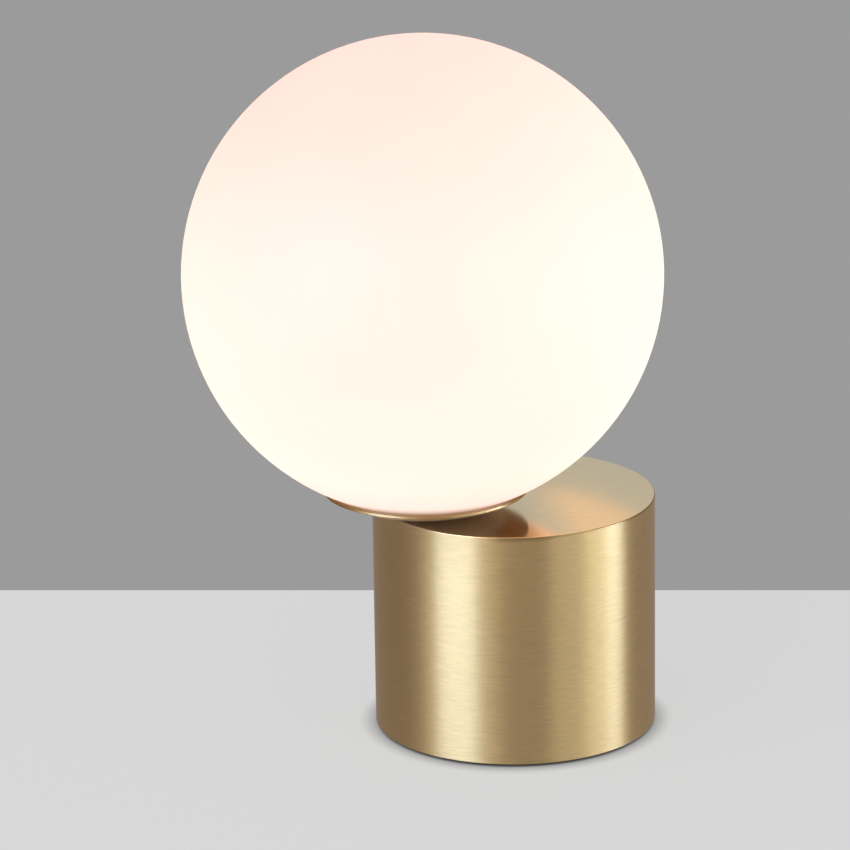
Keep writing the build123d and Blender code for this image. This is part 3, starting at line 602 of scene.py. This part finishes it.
def dress_outside():
    """The brass, the glass and the black trim that show when the lamp is whole."""
    rubber = moulded(
        "black_rubber",
        BLACK_RUBBER,
        roughness=0.72,
        grain=1500.0,
        variation=0.2,
        depth=0.0001,
        strength=0.4,
    )
    plastic = moulded(
        "black_plastic",
        BLACK_PLASTIC,
        roughness=0.45,
        grain=2200.0,
        variation=0.15,
        depth=0.00005,
        strength=0.3,
    )
    dress(drum_brass(), "drum")
    dress(dish_brass(), "dish")
    dress(opal_glass(), "globe")
    dress(glowing("lit_silicone", AMBER_SILICONE, AMBER_LIGHT, strength=0.12, roughness=0.42), "gasket")
    dress(rubber, "rubber_foot")
    dress(plastic, "cord_bush", "bush_nut")


def dress_metal():
    """The steel, iron and bare brass inside."""
    zinc = plated("zinc_steel", ZINC, roughness=0.36, grain=220.0)
    spring = plated("spring_steel", SPRING_STEEL, roughness=0.24, grain=400.0)
    brass = plated("bare_brass", BARE_BRASS, roughness=0.30, grain=350.0)
    iron = moulded(
        "cast_iron",
        CAST_IRON,
        roughness=0.62,
        grain=700.0,
        variation=0.25,
        depth=0.0003,
        strength=0.6,
    )
    dress(zinc, "posts", "bottom_plate", "plate_screws", "clamp_screws", "block_screws", "stem")
    dress(zinc, "lower_nut", "upper_nut", "bracket", "holder_screws", "holder_nuts")
    dress(spring, "globe_spring", "tooth_washer", "bulb_pins")
    dress(brass, "collar", "earth_tag", "terminal_tubes", "contacts")
    dress(iron, "weight")


def dress_wiring():
    """The lampholder, the block and the wires."""
    ceramic = moulded(
        "white_ceramic",
        WHITE_CERAMIC,
        roughness=0.48,
        grain=1600.0,
        variation=0.05,
        depth=0.00008,
        strength=0.25,
    )
    nylon = moulded("white_nylon", WHITE_NYLON, roughness=0.42, grain=900.0, variation=0.04)
    brown = moulded("brown_silicone", BROWN_WIRE, roughness=0.42, grain=800.0, variation=0.08)
    blue = moulded("blue_silicone", BLUE_WIRE, roughness=0.42, grain=800.0, variation=0.08)
    dress(ceramic, "lampholder")
    dress(nylon, "terminal_block")
    dress(brown, "live_wire")
    dress(blue, "neutral_wire")
    dress(striped_insulation("green_silicone", GREEN_WIRE, YELLOW_WIRE), "earth_wire")


def dress_bulb():
    """The bulb's white parts, its lit chips and its frosted cover."""
    white = moulded("bulb_white", BULB_WHITE, roughness=0.30, grain=600.0, variation=0.03)
    dress(white, "bulb_base", "bulb_board")
    dress(glowing("led_phosphor", PHOSPHOR, PHOSPHOR_LIGHT, strength=1.6, roughness=0.35), "bulb_leds")
    dress(glowing("frosted_cover", FROSTED_WHITE, BULB_LIGHT, strength=0.55, roughness=0.40), "bulb_cover")


def stage_face(name, corners, finish):
    """A flat face that belongs to the studio."""
    shape = bmesh.new()
    shape.faces.new([shape.verts.new(corner) for corner in corners])
    mesh = bpy.data.meshes.new(name)
    shape.to_mesh(mesh)
    shape.free()
    mesh.materials.append(finish)
    face = bpy.data.objects.new(name, mesh)
    scene.collection.objects.link(face)
    return face


def lay_floor():
    """A pale floor that ends at the photograph's horizon. It keeps the lamp's shadow."""
    left = floor_point(0, HORIZON_ROW)
    right = floor_point(IMAGE_SIDE, HORIZON_ROW)
    edge = (right - left).normalized()
    middle = (left + right) / 2 - UP * FLOOR_DROP
    half = edge * FLOOR_REACH
    front = edge.cross(UP) * FLOOR_REACH
    corners = [middle - half + front, middle + half + front, middle + half, middle - half]
    stage_face("floor", corners, floor_paper())


def floor_paper():
    """Pale paper. The brass sees it in the backdrop's grey."""
    made, tree, shader, place = new_material("floor_paper")
    dark, light = [rgba(FLOOR_WHITE, level) for level in FLOOR_GRAIN_TONES]
    tone = blend(tree, noise(tree, place, FLOOR_GRAIN), dark, light)
    set_sockets(tree, shader, Base_Color=tone, Roughness=1.0, Specular_IOR_Level=0.0)
    inputs = {"Color": tone, "Distance": CONTACT_REACH}
    contact = add(tree, "ShaderNodeAmbientOcclusion", inputs, samples=CONTACT_SAMPLES)
    seen = emission(tree, contact.outputs["Color"])
    mirrored = emission(tree, rgba(BACKDROP_GREY))
    direct, reflected = seen_rays(tree)
    lit = mix_shaders(tree, product(tree, direct, CONTACT_SHARE), shader.outputs[0], seen)
    paper = mix_shaders(tree, reflected, lit, mirrored)
    tree.links.new(paper, tree.nodes["Material Output"].inputs["Surface"])
    return made


def stage_card(name, corner, across, up, finish):
    """An upright card that only the metal sees."""
    card = stage_face(name, [corner, corner + across, corner + across + up, corner + up], finish)
    card.visible_camera = False
    card.visible_diffuse = False
    card.visible_transmission = False
    card.visible_shadow = False


def dark_flag(bearing, width, height, distance):
    """A dark card that deepens the drum's edge."""
    made, tree, shader, _ = new_material("dark_flag")
    set_sockets(tree, shader, Base_Color=rgba(BLACK), Roughness=1.0, Specular_IOR_Level=0.0)
    set_sockets(tree, shader, Emission_Color=rgba(FLAG_BROWN), Emission_Strength=1.0)
    across = heading(bearing + 90.0) * width
    corner = heading(bearing) * distance - across / 2
    stage_card("dark_flag", corner, across, UP * height, made)


def warm_glow():
    """A warm card with soft edges close behind the globe's foot, which glows on the drum's top."""
    made, tree, _, place = new_material("warm_card")
    foot = Vector((stem_x, 0, drum_top))
    from_foot = vectors(tree, "SUBTRACT", place, tuple(foot))
    aside = dot(tree, from_foot, brushed_along)
    rise = dot(tree, from_foot, UP)
    leaning = maths(tree, "SUBTRACT", aside, product(tree, rise, WARM_LEAN))
    from_bend = maths(tree, "SUBTRACT", aside, WARM_BEND_MIDDLE)
    bent = maths(tree, "SUBTRACT", rise, product(tree, from_bend, from_bend, WARM_BEND))
    left_edge = rescale(tree, leaning, *WARM_LEFT_EDGE)
    low_edge = rescale(tree, bent, *WARM_LOW_EDGE)
    glow = emission(tree, rgba(WARM_COLOUR), product(tree, left_edge, low_edge, WARM_STRENGTH))
    clear = add(tree, "ShaderNodeBsdfTransparent").outputs[0]
    card = add(tree, "ShaderNodeAddShader", {0: glow, 1: clear}).outputs[0]
    tree.links.new(card, tree.nodes["Material Output"].inputs["Surface"])
    corner = foot + brushed_along * WARM_ASIDE - brushed_across * WARM_BEHIND + UP * WARM_ABOVE
    stage_card("warm_card", corner, brushed_along * WARM_WIDTH, UP * WARM_HEIGHT, made)


def light_room():
    """A grey backdrop all round, and soft light from every side."""
    world = bpy.data.worlds.new("studio")
    world.use_nodes = True
    scene.world = world
    tree = world.node_tree
    ambient = tree.nodes["Background"]
    ambient.inputs["Color"].default_value = rgba(WHITE)
    ambient.inputs["Strength"].default_value = AMBIENT
    backdrop = add(tree, "ShaderNodeBackground", {"Color": rgba(BACKDROP_GREY)}).outputs[0]
    direct, reflected = seen_rays(tree)
    room = mix_shaders(tree, maths(tree, "MAXIMUM", direct, reflected), ambient.outputs[0], backdrop)
    tree.links.new(room, tree.nodes["World Output"].inputs["Surface"])


def softbox(name, bearing, elevation, width, height, radiance, tint=DAYLIGHT, mirrored=True):
    """A soft light about the drum that the camera doesn't see. One that metal mirrors only does that."""
    rise = math.radians(elevation)
    towards = heading(bearing) * math.cos(rise) + UP * math.sin(rise)
    data = bpy.data.lights.new(name, "AREA")
    data.shape = "RECTANGLE"
    data.size = width
    data.size_y = height
    data.energy = radiance * width * height * WATTS_PER_RADIANCE
    data.color = tint
    light = bpy.data.objects.new(name, data)
    aim = towards.to_track_quat("Z", "Y").to_matrix().to_4x4()
    light.matrix_world = Matrix.Translation(towards * SOFTBOX_DISTANCE) @ aim
    light.visible_camera = False
    light.visible_diffuse = not mirrored
    light.visible_glossy = mirrored
    scene.collection.objects.link(light)


def light_left():
    """The drum's left bright band, with a wide halo."""
    side = {"elevation": LEFT_TILT, "height": LEFT_HEIGHT}
    softbox("left_panel", bearing=-48.0, width=0.78, radiance=3.1, tint=LEFT_SKY, **side)
    softbox("left_halo", bearing=-46.0, width=1.62, radiance=0.74, tint=LEFT_HAZE, **side)


def light_right():
    """The drum's right bright band, which falls off to the left, and a dim fill between the bands."""
    side = {"elevation": RIGHT_TILT, "height": RIGHT_HEIGHT}
    softbox("front_fill", bearing=7.0, width=1.00, radiance=0.16, **side)
    softbox("right_panel", bearing=84.2, width=0.36, radiance=2.25, tint=RIGHT_SKY, **side)
    softbox("right_screen", bearing=76.0, width=0.88, radiance=1.45, **side)
    softbox("right_fill", bearing=61.0, width=1.68, radiance=1.15, **side)


def light_top():
    """A dim panel and the warm card, which the drum's top mirrors, and a key light for what isn't metal."""
    softbox(
        "back_panel",
        bearing=180.0,
        elevation=25.0,
        width=0.55,
        height=0.90,
        radiance=0.32,
        tint=BACK_SKY,
    )
    warm_glow()
    softbox(
        "key",
        bearing=-35.0,
        elevation=50.0,
        width=0.80,
        height=0.80,
        radiance=2.4,
        tint=WHITE,
        mirrored=False,
    )


scene.view_settings.view_transform = "Standard"
place_camera()
lay_floor()
dark_flag(bearing=-122.0, width=1.60, height=1.40, distance=1.4)
light_room()
light_left()
light_right()
light_top()
dress_outside()
dress_metal()
dress_wiring()
dress_bulb()
